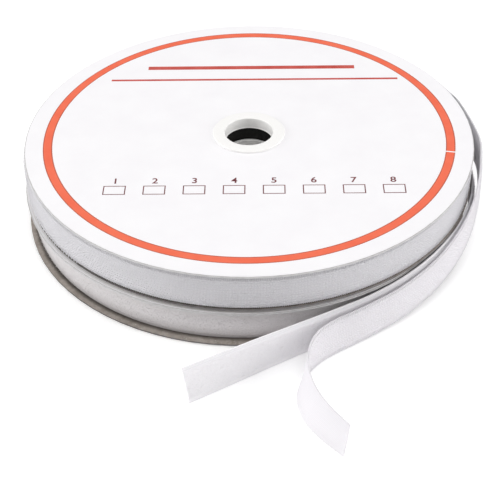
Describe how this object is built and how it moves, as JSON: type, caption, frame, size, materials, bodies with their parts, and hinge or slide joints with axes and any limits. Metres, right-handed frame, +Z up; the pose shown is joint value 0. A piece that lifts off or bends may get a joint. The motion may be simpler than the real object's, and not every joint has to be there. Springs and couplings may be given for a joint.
{
  "type": "hook and loop tape roll",
  "caption": "Stacked flat reels of white hook tape and loop tape between board discs, each turning on its flanged hub with its free tape end drawn off along the floor.",
  "frame": {"origin": "on the surface that the stack stands on, below the middle of the two reels", "axes": "+Z up along the reels' axes, -Y towards the side where the free ends lie, +X to the right seen from there"},
  "size_m": [0.2685, 0.3386, 0.049],
  "materials": {
    "board": "raw grey board with fibre flecks",
    "label_paper": "smooth white printed paper",
    "collar": "satin white moulding",
    "core": "black moulding",
    "hook_tape": "woven white nylon with cut hooks",
    "loop_tape": "woven white nylon with brushed loops"
  },
  "bodies": {
    "lower_tape": {"lower_outer_turns": "loop_tape", "lower_free_end": "loop_tape"},
    "lower_reel": {"lower_bottom_disc": "board", "lower_top_disc": "board", "lower_label": "label_paper", "lower_top_collar": "collar", "lower_bottom_collar": "collar", "lower_core": "core", "lower_wound_tape": "loop_tape"},
    "upper_tape": {"upper_outer_turns": "hook_tape", "upper_free_end": "hook_tape"},
    "upper_reel": {"upper_bottom_disc": "board", "upper_top_disc": "board", "upper_label": "label_paper", "upper_top_collar": "collar", "upper_bottom_collar": "collar", "upper_core": "core", "upper_wound_tape": "hook_tape"}
  },
  "joints": [
    {"name": "lower_reel_turn", "type": "hinge", "parent": "lower_tape", "child": "lower_reel", "pos_m": [-0.001, 0, 0.012], "axis": [0, 0, 1], "continuous": true},
    {"name": "upper_reel_lift", "type": "slide", "parent": "lower_tape", "child": "upper_tape", "axis": [0, 0, 1], "range_m": [0, 0.05]},
    {"name": "upper_reel_turn", "type": "hinge", "parent": "upper_tape", "child": "upper_reel", "pos_m": [0.001, 0, 0.037], "axis": [0, 0, 1], "continuous": true}
  ]
}
